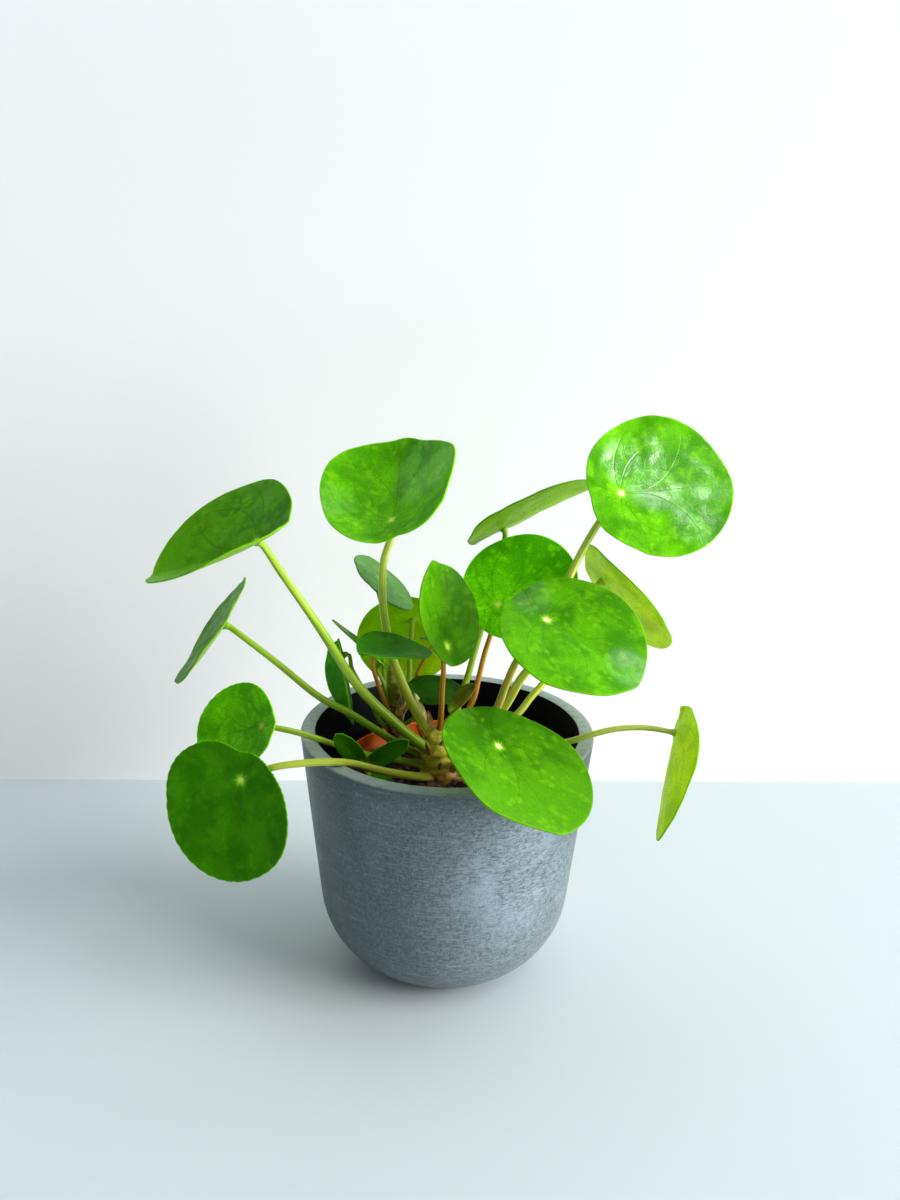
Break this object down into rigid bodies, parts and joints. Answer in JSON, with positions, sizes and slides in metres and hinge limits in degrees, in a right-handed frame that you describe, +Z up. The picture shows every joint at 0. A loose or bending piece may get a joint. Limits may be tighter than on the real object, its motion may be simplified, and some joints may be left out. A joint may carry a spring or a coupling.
{
  "type": "potted money plant",
  "caption": "Young round-leaved money plant in a thin nursery pot, standing loose in a plain matt tapered cachepot",
  "frame": {"origin": "middle of the cachepot's underside, on the floor", "axes": "+Z up the pot's axis, -Y towards the front, +X to the right seen from the front"},
  "size_m": [0.2823, 0.1908, 0.2916],
  "materials": {
    "cachepot": "matt glaze with fine level streaks",
    "nursery_pot": "satin",
    "soil": "loose potting soil with bark chips",
    "crown": "knobbly bark with dry scales",
    "stalk": "satin, faintly ribbed",
    "brown_stalk": "satin",
    "leaf": "waxy gloss over fine veins",
    "dark_leaf": "waxy gloss over fine veins",
    "pale_leaf": "satin underside with veins",
    "grey_leaf": "satin, bluish bloom"
  },
  "bodies": {
    "root": {"cachepot": "cachepot", "nursery_pot": "nursery_pot", "soil": "soil", "crown": "crown", "side_shoot": "crown", "plantlet": "leaf", "high_left_stalk": "stalk", "high_left_leaf": "leaf", "high_middle_stalk": "stalk", "high_middle_leaf": "leaf", "high_right_stalk": "stalk", "high_right_leaf": "leaf", "middle_right_stalk": "stalk", "middle_right_leaf": "leaf", "front_stalk": "stalk", "front_leaf": "leaf", "low_left_front_stalk": "stalk", "low_left_front_leaf": "dark_leaf", "left_edge_stalk": "stalk", "left_edge_leaf": "dark_leaf", "low_left_rear_stalk": "stalk", "low_left_rear_leaf": "dark_leaf", "far_right_stalk": "stalk", "far_right_leaf": "pale_leaf", "right_rear_stalk": "stalk", "right_rear_leaf": "pale_leaf", "centre_rear_stalk": "brown_stalk", "centre_rear_leaf": "leaf", "high_rear_stalk": "stalk", "high_rear_leaf": "pale_leaf", "centre_cupped_stalk": "brown_stalk", "centre_cupped_leaf": "leaf", "rear_round_stalk": "stalk", "rear_round_leaf": "pale_leaf", "small_grey_stalk": "stalk", "small_grey_leaf": "grey_leaf", "boat_stalk": "brown_stalk", "boat_leaf": "dark_leaf", "left_folded_stalk": "stalk", "left_folded_leaf": "dark_leaf", "narrow_left_stalk": "stalk", "narrow_left_leaf": "leaf", "small_middle_stalk": "brown_stalk", "small_middle_leaf": "grey_leaf", "inner_dark_stalk": "stalk", "inner_dark_leaf": "dark_leaf", "youngest_stalk": "stalk", "youngest_leaf": "leaf"}
  },
  "joints": []
}
